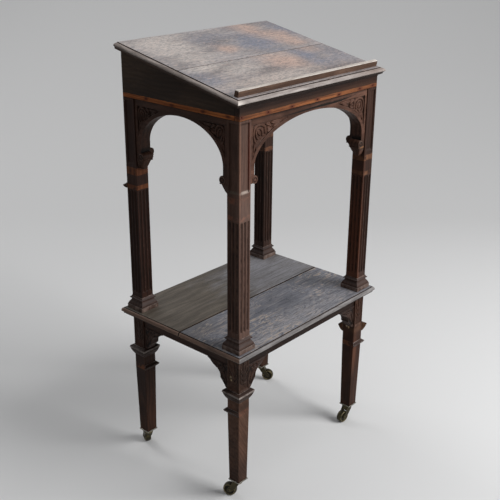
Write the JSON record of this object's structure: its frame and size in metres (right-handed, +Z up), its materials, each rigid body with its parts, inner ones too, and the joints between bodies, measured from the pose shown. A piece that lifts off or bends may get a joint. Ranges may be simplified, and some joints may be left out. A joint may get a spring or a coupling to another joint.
{
  "type": "auctioneer rostrum",
  "caption": "Free-standing oak rostrum: sloping desk with book stop on fluted posts joined by arched aprons, open shelf, tapered legs on swivel casters.",
  "frame": {"origin": "on the floor, under the middle of the shelf", "axes": "+Z up; -Y is the front, with the low edge of the desk; +X is to the right as seen from the front"},
  "size_m": [0.627, 0.468, 1.2444],
  "materials": {
    "dark_oak": "old dark stain, worn",
    "worn_oak": "bleached and rubbed",
    "shelf_oak": "dry and greyed",
    "tarnished_brass": "tarnished"
  },
  "bodies": {
    "frame": {"slope_board_lower": "worn_oak", "slope_board_upper": "worn_oak", "book_stop": "worn_oak", "shelf_board_front": "shelf_oak", "shelf_board_rear": "shelf_oak", "desk_front_rail": "dark_oak", "desk_back_board": "dark_oak", "desk_side_left": "dark_oak", "desk_side_right": "dark_oak", "desk_bottom_board": "dark_oak", "bed_moulding": "dark_oak", "arch_front": "dark_oak", "arch_rear": "dark_oak", "arch_left": "dark_oak", "arch_right": "dark_oak", "post_band_rear_left": "dark_oak", "shelf_rail_front": "dark_oak", "shelf_rail_rear": "dark_oak", "shelf_rail_left": "dark_oak", "shelf_rail_right": "dark_oak", "post_front_left": "dark_oak", "post_base_front_left": "dark_oak", "leg_front_left": "dark_oak", "leg_collar_front_left": "dark_oak", "leg_band_front_left": "dark_oak", "bracket_front_left_right": "dark_oak", "bracket_front_left_left": "dark_oak", "post_front_right": "dark_oak", "post_base_front_right": "dark_oak", "leg_front_right": "dark_oak", "leg_collar_front_right": "dark_oak", "leg_band_front_right": "dark_oak", "bracket_front_right_right": "dark_oak", "bracket_front_right_left": "dark_oak", "post_rear_right": "dark_oak", "post_base_rear_right": "dark_oak", "leg_rear_right": "dark_oak", "leg_collar_rear_right": "dark_oak", "leg_band_rear_right": "dark_oak", "bracket_rear_right_right": "dark_oak", "bracket_rear_right_left": "dark_oak", "post_rear_left": "dark_oak", "post_base_rear_left": "dark_oak", "leg_rear_left": "dark_oak", "leg_collar_rear_left": "dark_oak", "leg_band_rear_left": "dark_oak", "bracket_rear_left_right": "dark_oak", "bracket_rear_left_left": "dark_oak", "caster_plate_front_left": "tarnished_brass", "caster_plate_front_right": "tarnished_brass", "caster_plate_rear_right": "tarnished_brass", "caster_plate_rear_left": "tarnished_brass"},
    "caster_front_left": {"caster_horn_front_left": "tarnished_brass"},
    "wheel_front_left": {"caster_wheel_front_left": "tarnished_brass"},
    "caster_front_right": {"caster_horn_front_right": "tarnished_brass"},
    "wheel_front_right": {"caster_wheel_front_right": "tarnished_brass"},
    "caster_rear_right": {"caster_horn_rear_right": "tarnished_brass"},
    "wheel_rear_right": {"caster_wheel_rear_right": "tarnished_brass"},
    "caster_rear_left": {"caster_horn_rear_left": "tarnished_brass"},
    "wheel_rear_left": {"caster_wheel_rear_left": "tarnished_brass"}
  },
  "joints": [
    {"name": "swivel_front_left", "type": "hinge", "parent": "frame", "child": "caster_front_left", "pos_m": [-0.268, -0.1885, 0.058], "axis": [0, 0, 1], "continuous": true},
    {"name": "roll_front_left", "type": "hinge", "parent": "caster_front_left", "child": "wheel_front_left", "pos_m": [-0.27699, -0.16625, 0.02], "axis": [-0.9272, -0.3746, 0], "continuous": true},
    {"name": "swivel_front_right", "type": "hinge", "parent": "frame", "child": "caster_front_right", "pos_m": [0.268, -0.1885, 0.058], "axis": [0, 0, 1], "continuous": true},
    {"name": "roll_front_right", "type": "hinge", "parent": "caster_front_right", "child": "wheel_front_right", "pos_m": [0.24413, -0.18599, 0.02], "axis": [-0.1045, -0.9945, 0], "continuous": true},
    {"name": "swivel_rear_right", "type": "hinge", "parent": "frame", "child": "caster_rear_right", "pos_m": [0.268, 0.1885, 0.058], "axis": [0, 0, 1], "continuous": true},
    {"name": "roll_rear_right", "type": "hinge", "parent": "caster_rear_right", "child": "wheel_rear_right", "pos_m": [0.28278, 0.16959, 0.02], "axis": [0.788, 0.6157, 0], "continuous": true},
    {"name": "swivel_rear_left", "type": "hinge", "parent": "frame", "child": "caster_rear_left", "pos_m": [-0.268, 0.1885, 0.058], "axis": [0, 0, 1], "continuous": true},
    {"name": "roll_rear_left", "type": "hinge", "parent": "caster_rear_left", "child": "wheel_rear_left", "pos_m": [-0.25673, 0.20969, 0.02], "axis": [-0.8829, 0.4695, 0], "continuous": true}
  ]
}
